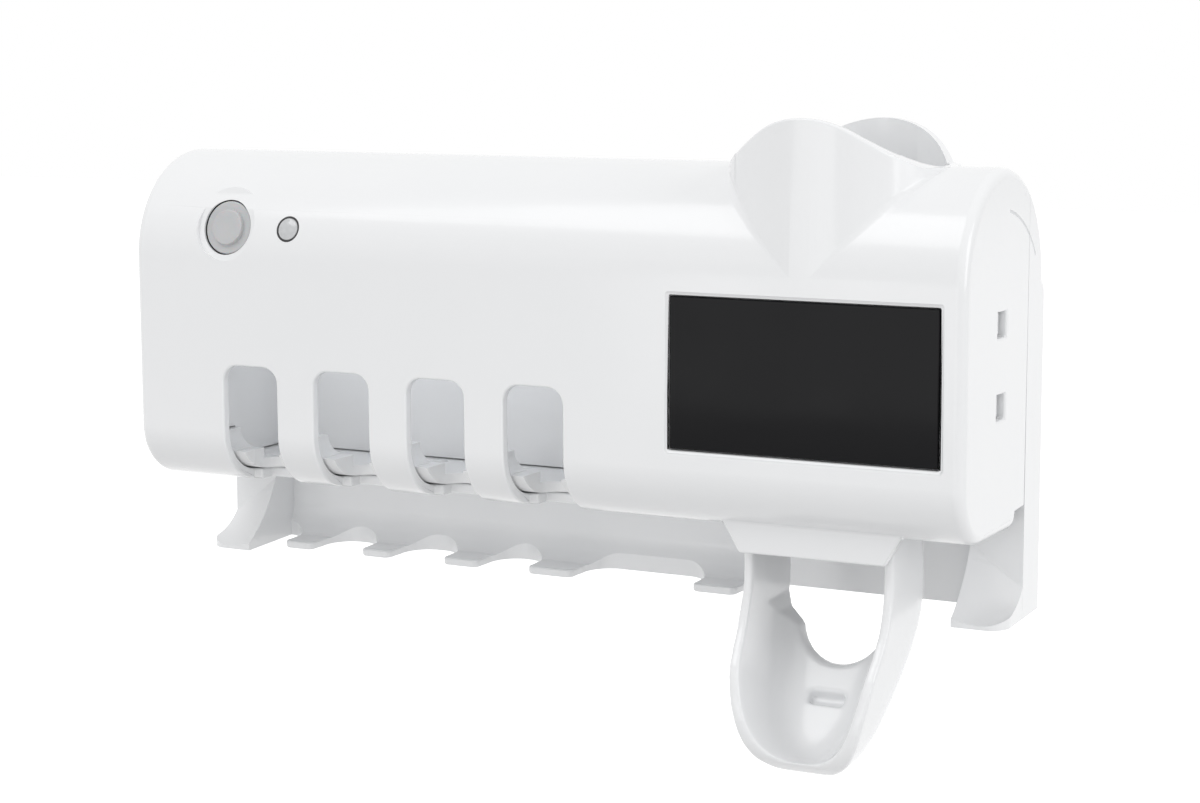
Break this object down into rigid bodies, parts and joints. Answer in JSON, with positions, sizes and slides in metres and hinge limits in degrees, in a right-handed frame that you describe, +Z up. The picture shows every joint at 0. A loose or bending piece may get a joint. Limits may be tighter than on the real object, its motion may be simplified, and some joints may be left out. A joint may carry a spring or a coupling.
{
  "type": "uv toothbrush holder",
  "caption": "Wall-hung toothbrush steriliser with arched front windows, a solar panel, a round button, a socket for a toothpaste tube and a scoop lever that presses the paste out.",
  "frame": {"origin": "on the wall plane, at the middle of the width, level with the casing's underside", "axes": "+X along the wall to the right as seen from the front, +Y into the wall, +Z up"},
  "size_m": [0.19, 0.045, 0.128],
  "materials": {
    "cover": "glossy white",
    "housing": "glossy white",
    "tray": "satin white",
    "liner": "satin pale grey",
    "cells": "dark cells",
    "panel_front": "clear over black",
    "button": "frosted grey",
    "clear_plastic": "clear",
    "soft_grey": "soft silicone",
    "soft_clear": "milky silicone",
    "inner_white": "satin",
    "inner_grey": "satin",
    "steel": "plain",
    "board": "solder mask",
    "led_body": "moulded",
    "window": "clear",
    "black_parts": "moulded",
    "cell_wrap": "shrink wrap",
    "socket_shell": "plated",
    "pad": "foam tape"
  },
  "bodies": {
    "holder": {"front_cover": "cover", "rear_housing": "housing", "brush_tray": "tray", "chamber_liner": "liner", "solar_cells": "cells", "solar_glass": "panel_front", "status_lens": "clear_plastic", "tube_seat": "cover", "neck_collar": "soft_grey", "neck_adapter": "inner_white", "squeeze_sleeve": "soft_clear", "nozzle": "inner_white", "outlet_valve": "soft_grey", "pump_frame": "inner_grey", "lever_pin": "steel", "lever_spring": "steel", "uv_board": "board", "uv_leds": "led_body", "lamp_window": "window", "button_board": "board", "button_switch": "black_parts", "status_led": "led_body", "control_board": "board", "control_parts": "black_parts", "battery_cell": "cell_wrap", "battery_cradle": "inner_grey", "charge_board": "board", "charge_socket": "socket_shell", "cover_screws": "steel", "board_screws": "steel", "pump_screws": "steel", "wall_pads": "pad"},
    "lever": {"lever": "cover"},
    "press": {"press_block": "inner_grey"},
    "button": {"power_button": "button"}
  },
  "joints": [
    {"name": "lever_press", "type": "hinge", "parent": "holder", "child": "lever", "pos_m": [0.0615, -0.03, 0.006], "axis": [1, 0, 0], "range_deg": [0, 15], "stiffness_Nm_per_rad": 0.05, "springref_deg": -11.46},
    {"name": "press_slide", "type": "slide", "parent": "holder", "child": "press", "axis": [0, -1, 0], "range_m": [0, 0.0038], "deforming": ["squeeze_sleeve"]},
    {"name": "button_press", "type": "slide", "parent": "holder", "child": "button", "axis": [0, 0.9455, -0.3256], "range_m": [0, 0.0008], "stiffness_N_per_m": 400}
  ],
  "couplings": [
    {"joint": "press_slide", "follows": "lever_press", "m_per_rad": 0.0141}
  ]
}
